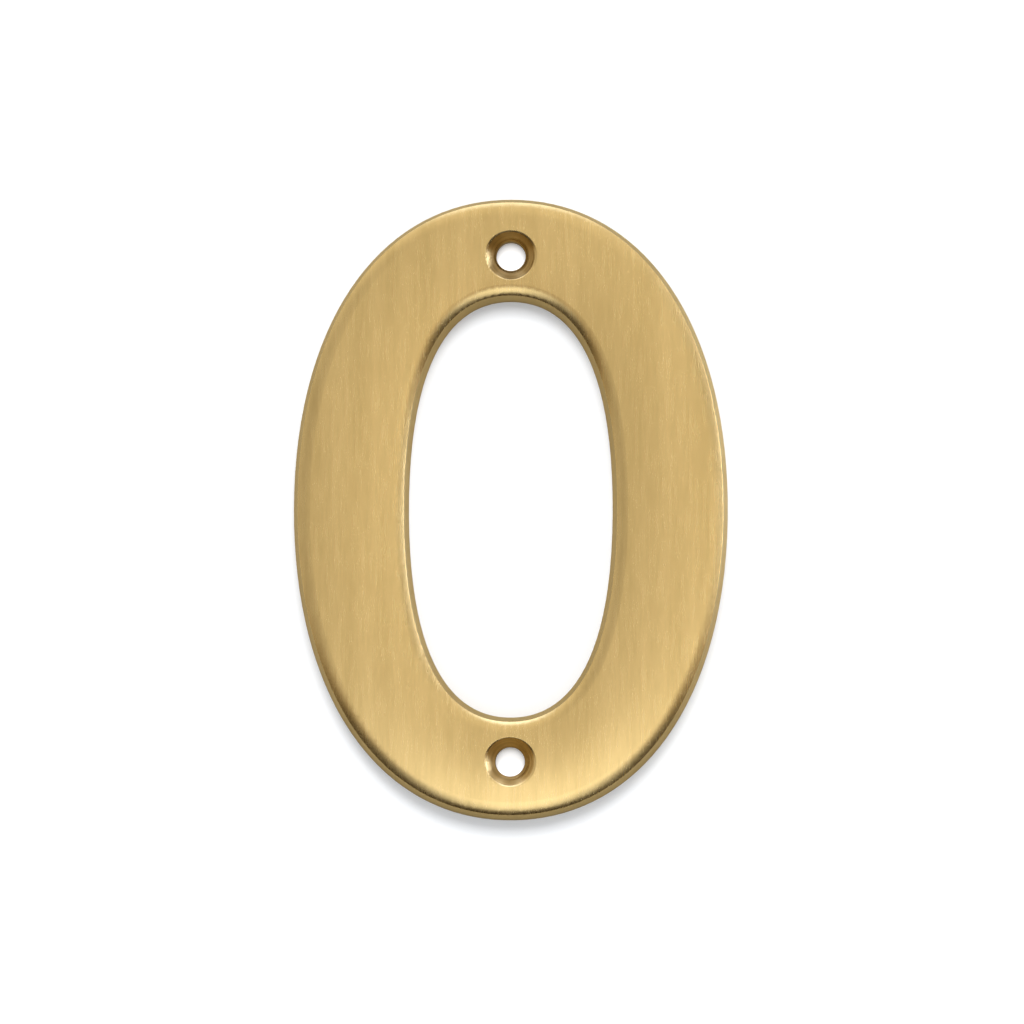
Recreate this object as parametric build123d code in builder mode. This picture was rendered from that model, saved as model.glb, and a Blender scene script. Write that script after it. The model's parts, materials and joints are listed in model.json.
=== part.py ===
from build123d import *
import os
from math import cos, radians, sin, sqrt, tan

# House number 0: one piece of solid brass, screwed flat to a wall or door.
# X points right and Z up as the number hangs, the back lies on Y = 0 and the face looks along -Y.

# Driving dimensions, in millimetres and degrees
HEIGHT = 101.6
WIDTH = 71.0
THICKNESS = 6.35
SIDE_LIMB = 18.85
END_LIMB = 16.8
DRAFT = 8.0
# Handle length of each quarter curve over its half axis: 0.552 is an ellipse, more is squarer
OUTER_FULLNESS = 0.604
COUNTER_FULLNESS = 0.654
# The face is gently crowned across the limb, then rolls over until the wall cuts the roll off
CROWN_RADIUS = 85.0
OUTER_ROLL_RADIUS = 4.8
OUTER_ROLL_TILT = 30.0
COUNTER_ROLL_RADIUS = 3.6
COUNTER_ROLL_TILT = 35.0
# Holes for countersunk wood screws, one at each end of the number
HOLE_SETBACK = 9.525
HOLE_DIAMETER = 4.8
COUNTERSINK_DIAMETER = 8.2
COUNTERSINK_ANGLE = 82.0
# A shallower cone breaks the rim of each countersink
RIM_BREAK = 0.17
RIM_ANGLE = 120.0

# Half sizes of the outline, of the opening in it (the counter) and of the line midway between them
outer_half_width = WIDTH / 2
outer_half_height = HEIGHT / 2
counter_half_width = outer_half_width - SIDE_LIMB
counter_half_height = outer_half_height - END_LIMB
middle_half_width = (outer_half_width + counter_half_width) / 2
middle_half_height = (outer_half_height + counter_half_height) / 2
middle_fullness = (OUTER_FULLNESS + COUNTER_FULLNESS) / 2

# Walls, crown and holes
draft_inset = THICKNESS * tan(radians(DRAFT))
face_half_width = (SIDE_LIMB + END_LIMB) / 4 - draft_inset
crown_half_span = 0.75 * max(SIDE_LIMB, END_LIMB)
crown_edge = CROWN_RADIUS - sqrt(CROWN_RADIUS**2 - crown_half_span**2) - THICKNESS
hole_height = outer_half_height - HOLE_SETBACK
# The cones start above the face, so that each meets the crown in one clean rim
tool_lift = THICKNESS / 10


def roll_overhang(radius, tilt):
    """How far the uncut roll reaches past the foot of the wall that cuts it at the given tilt."""
    centre_out = face_half_width - radius * sin(radians(tilt))
    centre_height = THICKNESS - CROWN_RADIUS + sqrt((CROWN_RADIUS - radius) ** 2 - centre_out**2)
    crease_height = centre_height + radius * cos(radians(tilt))
    return radius * (1 - sin(radians(tilt))) - crease_height * tan(radians(DRAFT))


def screw_holes(diameter, angle):
    """One hole near each end, with a cone of the given diameter where it leaves the face."""
    cone_radius = diameter / 2 + tool_lift * tan(radians(angle / 2))
    with Locations(Plane.XZ.offset(THICKNESS + tool_lift)):
        with Locations((0, hole_height), (0, -hole_height)):
            CounterSinkHole(HOLE_DIAMETER / 2, cone_radius, 2 * THICKNESS, angle)


def oval(half_width, half_height, fullness):
    """Four quarter curves, upright at the sides and level at the ends."""
    handle_x = half_width * fullness
    handle_y = half_height * fullness
    for side, end in ((1, 1), (-1, 1), (-1, -1), (1, -1)):
        Bezier(
            (side * half_width, 0),
            (side * half_width, end * handle_y),
            (side * handle_x, end * half_height),
            (0, end * half_height),
        )


def outer_oval(growth):
    oval(outer_half_width + growth, outer_half_height + growth, OUTER_FULLNESS)


def counter_oval(growth):
    oval(counter_half_width + growth, counter_half_height + growth, COUNTER_FULLNESS)


def face_edges(part):
    """Edges where the crown meets the upright walls, the counter's before the outline's."""
    walls = part.faces().filter_by(GeomType.EXTRUSION)
    curved = walls.edges().filter_by(GeomType.BSPLINE)
    return curved.filter_by_position(Axis.Y, -THICKNESS, -THICKNESS / 2).sort_by(SortBy.LENGTH)


with BuildPart() as numeral:
    # Upright ring, wider than the number by what the walls later cut off its rolled edges
    with BuildSketch(Plane.XZ.offset(-THICKNESS)):
        with BuildLine():
            outer_oval(roll_overhang(OUTER_ROLL_RADIUS, OUTER_ROLL_TILT))
        make_face()
        with BuildLine():
            counter_oval(-roll_overhang(COUNTER_ROLL_RADIUS, COUNTER_ROLL_TILT))
        make_face(mode=Mode.SUBTRACT)
    extrude(amount=3 * THICKNESS)

    # Crown: a shallow arc carried round the middle of the limb
    with BuildLine(Plane.XZ) as middle_line:
        oval(middle_half_width, middle_half_height, middle_fullness)
    with BuildSketch(Plane.XY):
        with BuildLine():
            arc = ThreePointArc(
                (middle_half_width - crown_half_span, crown_edge),
                (middle_half_width, -THICKNESS),
                (middle_half_width + crown_half_span, crown_edge),
            )
            Polyline(
                arc @ 1,
                (middle_half_width + crown_half_span, THICKNESS),
                (middle_half_width - crown_half_span, THICKNESS),
                arc @ 0,
            )
        make_face()
    sweep(path=middle_line.line, mode=Mode.INTERSECT)

    # Rolled edges of the face
    outline_edges = face_edges(numeral)[4:]
    fillet(outline_edges, OUTER_ROLL_RADIUS)
    counter_edges = face_edges(numeral)[:4]
    fillet(counter_edges, COUNTER_ROLL_RADIUS)

    # Outer wall and back, drafted so that the back is the larger end
    with BuildSketch(Plane.XZ):
        with BuildLine():
            outer_oval(0)
        make_face()
    with BuildSketch(Plane.XZ.offset(THICKNESS)):
        with BuildLine():
            outer_oval(-draft_inset)
        make_face()
    loft(ruled=True, mode=Mode.INTERSECT)

    # Wall of the counter, drafted the other way
    with BuildSketch(Plane.XZ):
        with BuildLine():
            counter_oval(0)
        make_face()
    with BuildSketch(Plane.XZ.offset(THICKNESS)):
        with BuildLine():
            counter_oval(draft_inset)
        make_face()
    loft(ruled=True, mode=Mode.SUBTRACT)

    # Screw holes, with the rims of their countersinks broken
    screw_holes(COUNTERSINK_DIAMETER, COUNTERSINK_ANGLE)
    screw_holes(COUNTERSINK_DIAMETER + 2 * RIM_BREAK, RIM_ANGLE)

numeral.part.label = "numeral_zero"
os.makedirs("parts", exist_ok=True)
export_step(numeral.part, "parts/numeral_zero.step")
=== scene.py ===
"""A house number 0 in satin brass, flat against a plain white wall under soft studio light."""
import json
import math

import bpy
from mathutils import Matrix, Vector


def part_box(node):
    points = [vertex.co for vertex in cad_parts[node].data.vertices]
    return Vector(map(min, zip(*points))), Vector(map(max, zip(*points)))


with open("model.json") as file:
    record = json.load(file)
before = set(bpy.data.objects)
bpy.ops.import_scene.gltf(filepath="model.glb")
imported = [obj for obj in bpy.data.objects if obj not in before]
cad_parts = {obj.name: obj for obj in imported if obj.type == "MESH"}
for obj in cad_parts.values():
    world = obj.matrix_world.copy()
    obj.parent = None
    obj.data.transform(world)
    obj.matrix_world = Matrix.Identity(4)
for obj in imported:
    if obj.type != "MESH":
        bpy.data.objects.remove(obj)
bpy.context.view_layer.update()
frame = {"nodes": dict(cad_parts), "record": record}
number = frame["nodes"]["numeral_zero"]
number_low, number_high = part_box("numeral_zero")

# Camera: a long lens a little below and to the right of the number, in metres and degrees
IMAGE_SIZE_PX = 1024
NUMBER_HEIGHT_PX = 621.0
NUMBER_CENTRE_PX = (510.8, 509.7)
CAMERA_DISTANCE = 1.8
CAMERA_BELOW = 2.1
CAMERA_RIGHT = 0.7
CAMERA_ROLL = 0.1
SENSOR_WIDTH = 36.0

# Brass: linear colour of the bright and dull grain, the tint at glancing angles, and the crease rounding
BRASS_BRIGHT = (0.672, 0.466, 0.185)
BRASS_DULL = (0.572, 0.393, 0.147)
BRASS_GLANCING = (0.93, 0.84, 0.62)
ANISOTROPY = 0.75
CREASE_RADIUS = 0.00014
CREASE_SAMPLES = 6

# Grain: brushed streaks with broad bands over them, and turning marks, with sizes in metres
STREAK_WIDTH = 0.00055
STREAK_LENGTH = 0.005
BAND_WIDTH = 0.003
BAND_LENGTH = 0.06
BAND_SHARE = 0.5
BRUSHED_DETAIL = 2.0
TURNING_PITCH = 0.00045
TURNING_LENGTH = 0.01
TURNING_DETAIL = 3.0
GRAIN_DEPTH = 0.00001
GRAIN_STRENGTH = 0.1
# Noise values between which the colour, and the tone and roughness, run from end to end
COLOUR_SPAN = (0.35, 0.65)
GRAIN_SPAN = (0.3, 0.7)

# How squarely a surface faces front or back, from 0 to 1: where walls end and where brushing begins
WALL_EDGE = (0.25, 0.45)
BRUSHED_EDGE = (0.70, 0.79)
# Ranges of tone and roughness on the brushed face, the turned countersinks and the duller walls
FACE_TONE, FACE_ROUGHNESS = (1.0, 1.0), (0.262, 0.278)
TURNED_TONE, TURNED_ROUGHNESS = (0.66, 1.08), (0.24, 0.38)
SIDE_TONE, SIDE_ROUGHNESS = (0.56, 0.56), (0.42, 0.50)

# Wall behind the number: set just in front of the back face, which stays in view from behind
WALL_COLOUR = (0.95, 0.95, 0.95)
WALL_SIZE = 2.0
WALL_SINK = 0.00005
# Painted light: a glow on the wall that only the camera sees through the screw holes, centred a little
# low in each so the top of each hole stays in shade
HOLE_GLOW_DROP = 0.0005
HOLE_GLOW_EDGE = (0.0016, 0.0034)
HOLE_GLOW_STRENGTH = 0.75

# Studio seen in the brass: strength round the room, by the angle in degrees to the right of the camera
LIGHT_BY_SIDE = (
    (-180, 0.80), (-90, 1.10), (-60, 0.72), (-30, 0.61), (-10, 0.83), (10, 1.21), (30, 0.74),
    (60, 0.85), (90, 0.90), (180, 0.80),
)
# The light evens out up the walls, and changes in steps by the angle above the horizon
UPPER_EDGE = (14, 46)
UPPER_STRENGTH = 0.95
LIGHT_STEPS = ((5, 40, 0.23), (44, 62, 1.90), (63, 79, -2.98))
FLOOR_EDGE = (-2.4, -24.4)
FLOOR_STRENGTH = 0.05
FLOOR_COLOUR = (1.0, 0.7, 0.3)

# Soft boxes on the right: strength, then the angles over which each side edge and level edge fades
SOFT_BOXES = (
    (18.5, (73, 86), (112, 128), (-11, 1), (14, 34)),
    (0.38, (6, 18), (32, 46), (-14, -4), (-2, 10)),
)
# The brightest lights, high up and far to the right, are cooler than the rest
COOL_EDGE_UP, COOL_EDGE_RIGHT = (42, 58), (55, 80)
COOL_COLOUR = (0.86, 1.02, 1.50)

# Soft-edged white card low in front of the number: metres from the wall, half width, ends and softness
CARD_DISTANCE = 0.30
CARD_CENTRE = 0.011
CARD_HALF_WIDTH = 0.072
CARD_SIDE_SOFTNESS = 0.076
CARD_BOTTOM = -0.295
CARD_BOTTOM_SOFTNESS = 0.095
CARD_TOP = -0.063
CARD_TOP_SOFTNESS = 0.052
CARD_STRENGTH = 2.8
CARD_COLOUR = (0.95, 1.04, 1.22)

# Light on the wall: an even fill and one soft key lamp above and a little to the right
FILL_STRENGTH = 0.865
FILL_COLOUR = (0.915, 0.953, 1.0)
KEY_DISTANCE = 1.2
KEY_ABOVE = 26
KEY_RIGHT = 1
KEY_SIZE = 0.42
KEY_POWER = 8.2


def add_node(tree, kind, **settings):
    node = tree.nodes.new(kind)
    for name, value in settings.items():
        setattr(node, name, value)
    return node


def feed(tree, socket, source):
    """Give a socket a value, or link it to another node's socket."""
    if isinstance(source, bpy.types.NodeSocket):
        tree.links.new(source, socket)
    else:
        socket.default_value = source


def calculate(tree, operation, *terms):
    node = add_node(tree, "ShaderNodeMath", operation=operation)
    for socket, term in zip(node.inputs, terms):
        feed(tree, socket, term)
    return node.outputs[0]


def remap(tree, value, low, high, to_low=0.0, to_high=1.0, smooth=False):
    interpolation = "SMOOTHSTEP" if smooth else "LINEAR"
    node = add_node(tree, "ShaderNodeMapRange", interpolation_type=interpolation)
    feed(tree, node.inputs["Value"], value)
    feed(tree, node.inputs["From Min"], low)
    feed(tree, node.inputs["From Max"], high)
    feed(tree, node.inputs["To Min"], to_low)
    feed(tree, node.inputs["To Max"], to_high)
    return node.outputs["Result"]


def blend(tree, kind, factor, first, second):
    node = add_node(tree, "ShaderNodeMix", data_type=kind)
    factor_in, first_in, second_in = [socket for socket in node.inputs if socket.enabled]
    feed(tree, factor_in, factor)
    feed(tree, first_in, first)
    feed(tree, second_in, second)
    return [socket for socket in node.outputs if socket.enabled][0]


def blend_shaders(tree, factor, first, second):
    node = add_node(tree, "ShaderNodeMixShader")
    feed(tree, node.inputs[0], factor)
    feed(tree, node.inputs[1], first)
    feed(tree, node.inputs[2], second)
    return node.outputs[0]


def split(tree, vector):
    node = add_node(tree, "ShaderNodeSeparateXYZ")
    feed(tree, node.inputs[0], vector)
    return node.outputs


def stretched_noise(tree, coordinates, cell, detail):
    """Noise whose cells have the given size along X, Y and Z; zero leaves that axis out."""
    scale = add_node(tree, "ShaderNodeVectorMath", operation="MULTIPLY")
    feed(tree, scale.inputs[0], coordinates)
    feed(tree, scale.inputs[1], [1 / size if size else 0.0 for size in cell])
    noise = add_node(tree, "ShaderNodeTexNoise")
    feed(tree, noise.inputs["Vector"], scale.outputs["Vector"])
    feed(tree, noise.inputs["Scale"], 1.0)
    feed(tree, noise.inputs["Detail"], detail)
    return noise.outputs["Fac"]


def empty_material(name):
    material = bpy.data.materials.new(name)
    material.use_nodes = True
    material.node_tree.nodes.remove(material.node_tree.nodes["Principled BSDF"])
    return material


def add_panel(name, left, right, bottom, top, depth, material):
    """Upright stage panel that faces the camera side."""
    corners = [(left, depth, bottom), (right, depth, bottom), (right, depth, top), (left, depth, top)]
    mesh = bpy.data.meshes.new(name)
    mesh.from_pydata(corners, [], [(0, 1, 2, 3)])
    mesh.materials.append(material)
    panel = bpy.data.objects.new(name, mesh)
    bpy.context.scene.collection.objects.link(panel)
    return panel


def brass_zones(tree):
    """Two masks: one is 1 on the brushed face and back, the other is 1 off the walls."""
    normal = split(tree, add_node(tree, "ShaderNodeNewGeometry").outputs["Normal"])
    facing = calculate(tree, "ABSOLUTE", normal["Y"])
    brushed = remap(tree, facing, *BRUSHED_EDGE, smooth=True)
    off_wall = remap(tree, facing, *WALL_EDGE, smooth=True)
    return brushed, off_wall


def brass_grain(tree, brushed):
    """Streaks where the brass is brushed and turning marks elsewhere, then the broad bands."""
    place = add_node(tree, "ShaderNodeTexCoord").outputs["Object"]
    turning_cell = (TURNING_LENGTH, TURNING_PITCH, TURNING_LENGTH)
    streaks = stretched_noise(tree, place, (STREAK_WIDTH, 0, STREAK_LENGTH), BRUSHED_DETAIL)
    bands = stretched_noise(tree, place, (BAND_WIDTH, 0, BAND_LENGTH), BRUSHED_DETAIL)
    turning = stretched_noise(tree, place, turning_cell, TURNING_DETAIL)
    return blend(tree, "FLOAT", brushed, turning, streaks), bands


def make_brass():
    """Brass brushed up and down on the face and back, and round the walls and countersinks."""
    material = bpy.data.materials.new("satin_brass")
    material.use_nodes = True
    tree = material.node_tree
    shader = tree.nodes["Principled BSDF"]
    brushed, off_wall = brass_zones(tree)
    grain, bands = brass_grain(tree, brushed)

    def by_zone(*ranges):
        side, turned, face = [remap(tree, grain, *GRAIN_SPAN, *limits) for limits in ranges]
        return blend(tree, "FLOAT", off_wall, side, blend(tree, "FLOAT", brushed, turned, face))

    shade = remap(tree, blend(tree, "FLOAT", BAND_SHARE, grain, bands), *COLOUR_SPAN)
    colour = add_node(tree, "ShaderNodeVectorMath", operation="SCALE")
    feed(tree, colour.inputs[0], blend(tree, "RGBA", shade, (*BRASS_DULL, 1), (*BRASS_BRIGHT, 1)))
    feed(tree, colour.inputs["Scale"], by_zone(SIDE_TONE, TURNED_TONE, FACE_TONE))
    feed(tree, shader.inputs["Base Color"], colour.outputs["Vector"])
    feed(tree, shader.inputs["Roughness"], by_zone(SIDE_ROUGHNESS, TURNED_ROUGHNESS, FACE_ROUGHNESS))

    tangent = add_node(tree, "ShaderNodeCombineXYZ")
    feed(tree, tangent.inputs["X"], brushed)
    feed(tree, tangent.inputs["Y"], calculate(tree, "SUBTRACT", 1.0, brushed))
    feed(tree, shader.inputs["Tangent"], tangent.outputs["Vector"])

    rounding = add_node(tree, "ShaderNodeBevel", samples=CREASE_SAMPLES)
    feed(tree, rounding.inputs["Radius"], CREASE_RADIUS)
    bump = add_node(tree, "ShaderNodeBump")
    feed(tree, bump.inputs["Strength"], GRAIN_STRENGTH)
    feed(tree, bump.inputs["Distance"], GRAIN_DEPTH)
    feed(tree, bump.inputs["Height"], grain)
    feed(tree, bump.inputs["Normal"], rounding.outputs["Normal"])
    feed(tree, shader.inputs["Normal"], bump.outputs["Normal"])

    shader.inputs["Metallic"].default_value = 1.0
    shader.inputs["Anisotropic"].default_value = ANISOTROPY
    shader.inputs["Specular Tint"].default_value = (*BRASS_GLANCING, 1)
    return material


def hole_centres():
    """Middles of the screw holes, from the mounts in the record."""
    return [mount["pos_m"] for mount in frame["record"]["mounts"] if mount["kind"] == "bore"]


def make_wall_paint_and_hole_glow():
    """White paint with a painted glow of light behind the screw holes, seen only by the camera; from
    behind it is see-through.
    """
    material = empty_material("white_wall")
    tree = material.node_tree
    paint = add_node(tree, "ShaderNodeBsdfDiffuse")
    feed(tree, paint.inputs["Color"], (*WALL_COLOUR, 1))

    place = add_node(tree, "ShaderNodeTexCoord").outputs["Object"]
    # Painted light: a glow round each screw hole, shown to the camera only, that brightens the wall seen
    # through the holes
    glow = add_node(tree, "ShaderNodeEmission")
    painted_hole_light = 0.0
    for x, _, z in hole_centres():
        distance = add_node(tree, "ShaderNodeVectorMath", operation="DISTANCE")
        feed(tree, distance.inputs[0], place)
        feed(tree, distance.inputs[1], (x, number_high.y - WALL_SINK, z - HOLE_GLOW_DROP))
        hole_glow = remap(tree, distance.outputs["Value"], *HOLE_GLOW_EDGE, HOLE_GLOW_STRENGTH, 0.0, smooth=True)
        painted_hole_light = calculate(tree, "ADD", painted_hole_light, hole_glow)
    seen = add_node(tree, "ShaderNodeLightPath").outputs["Is Camera Ray"]
    feed(tree, glow.inputs["Strength"], calculate(tree, "MULTIPLY", painted_hole_light, seen))
    front = add_node(tree, "ShaderNodeAddShader")
    feed(tree, front.inputs[0], paint.outputs[0])
    feed(tree, front.inputs[1], glow.outputs[0])

    clear = add_node(tree, "ShaderNodeBsdfTransparent")
    behind = add_node(tree, "ShaderNodeNewGeometry").outputs["Backfacing"]
    surface = blend_shaders(tree, behind, front.outputs[0], clear.outputs[0])
    feed(tree, tree.nodes["Material Output"].inputs["Surface"], surface)
    return material


def make_wall():
    half = WALL_SIZE / 2
    add_panel("wall", -half, half, -half, half, number_high.y - WALL_SINK, make_wall_paint_and_hole_glow())


def soft_edge(tree, value, place, softness):
    """Smooth rise through a place; a negative softness makes it a fall."""
    low, high = place - abs(softness), place + abs(softness)
    rise = remap(tree, value, low, high, smooth=True)
    return rise if softness > 0 else calculate(tree, "SUBTRACT", 1.0, rise)


def make_card_light():
    """Glow that fades out towards all four edges of the card."""
    material = empty_material("white_card")
    tree = material.node_tree
    place = split(tree, add_node(tree, "ShaderNodeTexCoord").outputs["Object"])
    across = calculate(
        tree,
        "MULTIPLY",
        soft_edge(tree, place["X"], CARD_CENTRE - CARD_HALF_WIDTH, CARD_SIDE_SOFTNESS),
        soft_edge(tree, place["X"], CARD_CENTRE + CARD_HALF_WIDTH, -CARD_SIDE_SOFTNESS),
    )
    along = calculate(
        tree,
        "MULTIPLY",
        soft_edge(tree, place["Z"], CARD_BOTTOM, CARD_BOTTOM_SOFTNESS),
        soft_edge(tree, place["Z"], CARD_TOP, -CARD_TOP_SOFTNESS),
    )
    glow = add_node(tree, "ShaderNodeEmission")
    feed(tree, glow.inputs["Color"], (*CARD_COLOUR, 1))
    feed(tree, glow.inputs["Strength"], CARD_STRENGTH)
    clear = add_node(tree, "ShaderNodeBsdfTransparent")
    cover = calculate(tree, "MULTIPLY", across, along)
    surface = blend_shaders(tree, cover, clear.outputs[0], glow.outputs[0])
    feed(tree, tree.nodes["Material Output"].inputs["Surface"], surface)
    return material


def make_card():
    """White card that only the brass mirrors, most of all in the lower half of the face."""
    reach = CARD_HALF_WIDTH + CARD_SIDE_SOFTNESS
    left, right = CARD_CENTRE - reach, CARD_CENTRE + reach
    bottom = CARD_BOTTOM - CARD_BOTTOM_SOFTNESS
    top = CARD_TOP + CARD_TOP_SOFTNESS
    card = add_panel("low_card", left, right, bottom, top, -CARD_DISTANCE, make_card_light())
    card.visible_camera = False
    card.visible_diffuse = False
    card.visible_shadow = False


def room_light(tree, side):
    """Strength round the room, straight between the stops."""
    ramp = add_node(tree, "ShaderNodeFloatCurve")
    curve = ramp.mapping.curves[0]
    peak = max(strength for _, strength in LIGHT_BY_SIDE)
    # The curve starts with two points; the rest go in anywhere and are placed below
    for _ in LIGHT_BY_SIDE[2:]:
        curve.points.new(0.5, 0.5)
    for point, (angle, strength) in zip(curve.points, LIGHT_BY_SIDE):
        point.location = ((angle + 180) / 360, strength / peak)
        point.handle_type = "VECTOR"
    ramp.mapping.update()
    feed(tree, ramp.inputs["Value"], remap(tree, side, -180, 180))
    return calculate(tree, "MULTIPLY", ramp.outputs["Value"], peak)


def soft_box(tree, side, height, strength, left, right, bottom, top):
    """Strength of one soft box, nothing outside it."""
    for angle, rise, fall in ((side, left, right), (height, bottom, top)):
        strength = calculate(tree, "MULTIPLY", strength, remap(tree, angle, *rise, smooth=True))
        strength = calculate(tree, "MULTIPLY", strength, remap(tree, angle, *fall, 1.0, 0.0, smooth=True))
    return strength


def make_studio():
    """Room mirrored in the brass, an even fill on the wall, and plain white past the wall's edges."""
    world = bpy.data.worlds.new("studio")
    bpy.context.scene.world = world
    world.use_nodes = True
    world.cycles.sampling_method = "NONE"
    tree = world.node_tree
    room = tree.nodes["Background"]

    direction = split(tree, add_node(tree, "ShaderNodeTexCoord").outputs["Generated"])
    forward = calculate(tree, "MULTIPLY", direction["Y"], -1.0)
    side = calculate(tree, "DEGREES", calculate(tree, "ARCTAN2", direction["X"], forward))
    height = calculate(tree, "DEGREES", calculate(tree, "ARCSINE", direction["Z"]))
    upper = remap(tree, height, *UPPER_EDGE, smooth=True)
    strength = blend(tree, "FLOAT", upper, room_light(tree, side), UPPER_STRENGTH)
    growth = 1.0
    for low, high, amount in LIGHT_STEPS:
        growth = calculate(tree, "ADD", growth, remap(tree, height, low, high, 0.0, amount, smooth=True))
    strength = calculate(tree, "MULTIPLY", strength, growth)
    for box in SOFT_BOXES:
        strength = calculate(tree, "ADD", strength, soft_box(tree, side, height, *box))
    floor = remap(tree, height, *FLOOR_EDGE, smooth=True)
    feed(tree, room.inputs["Strength"], blend(tree, "FLOAT", floor, strength, FLOOR_STRENGTH))
    cool_up = remap(tree, height, *COOL_EDGE_UP, smooth=True)
    cool_right = remap(tree, side, *COOL_EDGE_RIGHT, smooth=True)
    cool = calculate(tree, "MAXIMUM", cool_up, cool_right)
    colour = blend(tree, "RGBA", cool, (1, 1, 1, 1), (*COOL_COLOUR, 1))
    feed(tree, room.inputs["Color"], blend(tree, "RGBA", floor, colour, (*FLOOR_COLOUR, 1)))

    rays = add_node(tree, "ShaderNodeLightPath").outputs
    fill = add_node(tree, "ShaderNodeBackground")
    feed(tree, fill.inputs["Strength"], FILL_STRENGTH)
    feed(tree, fill.inputs["Color"], (*FILL_COLOUR, 1))
    white = add_node(tree, "ShaderNodeBackground")
    feed(tree, white.inputs["Strength"], 1.0)
    feed(tree, white.inputs["Color"], (1, 1, 1, 1))
    lit = blend_shaders(tree, rays["Is Glossy Ray"], fill.outputs[0], room.outputs[0])
    seen = blend_shaders(tree, rays["Is Camera Ray"], lit, white.outputs[0])
    feed(tree, tree.nodes["World Output"].inputs["Surface"], seen)


def direction_from(right, above):
    """Unit vector out from the wall, turned by angles in degrees to the right and up."""
    right, above = math.radians(right), math.radians(above)
    return Vector((
        math.sin(right) * math.cos(above),
        -math.cos(right) * math.cos(above),
        math.sin(above),
    ))


def make_key_lamp():
    """Soft lamp that throws the short shadow below the number."""
    data = bpy.data.lights.new("key", "AREA")
    data.size = KEY_SIZE
    data.energy = KEY_POWER
    lamp = bpy.data.objects.new("key", data)
    towards_lamp = direction_from(KEY_RIGHT, KEY_ABOVE)
    turn = (-towards_lamp).to_track_quat("-Z", "Y").to_matrix().to_4x4()
    lamp.matrix_world = Matrix.Translation(towards_lamp * KEY_DISTANCE) @ turn
    lamp.visible_camera = False
    lamp.visible_glossy = False
    bpy.context.scene.collection.objects.link(lamp)


def make_camera():
    """Long-lens camera that puts the number where the photograph has it."""
    towards_eye = direction_from(CAMERA_RIGHT, -CAMERA_BELOW)
    back_centre = Vector((0, number_high.y, (number_low.z + number_high.z) / 2))
    metres_per_pixel = (number_high.z - number_low.z) / NUMBER_HEIGHT_PX

    turn = (-towards_eye).to_track_quat("-Z", "Y").to_matrix()
    turn = turn @ Matrix.Rotation(math.radians(CAMERA_ROLL), 3, "Z")
    centre_x, centre_y = NUMBER_CENTRE_PX
    off_centre = Vector((IMAGE_SIZE_PX / 2 - centre_x, centre_y - IMAGE_SIZE_PX / 2, 0))
    eye = back_centre + towards_eye * CAMERA_DISTANCE + turn @ (off_centre * metres_per_pixel)

    data = bpy.data.cameras.new("camera")
    data.sensor_width = SENSOR_WIDTH
    data.lens = SENSOR_WIDTH * CAMERA_DISTANCE / (IMAGE_SIZE_PX * metres_per_pixel)
    data.clip_start = CAMERA_DISTANCE / 100
    camera = bpy.data.objects.new("camera", data)
    camera.matrix_world = Matrix.Translation(eye) @ turn.to_4x4()
    bpy.context.scene.collection.objects.link(camera)
    bpy.context.scene.camera = camera


number.data.materials.clear()
number.data.materials.append(make_brass())
make_wall()
make_card()
make_studio()
make_key_lamp()
make_camera()
bpy.context.scene.view_settings.view_transform = "Standard"
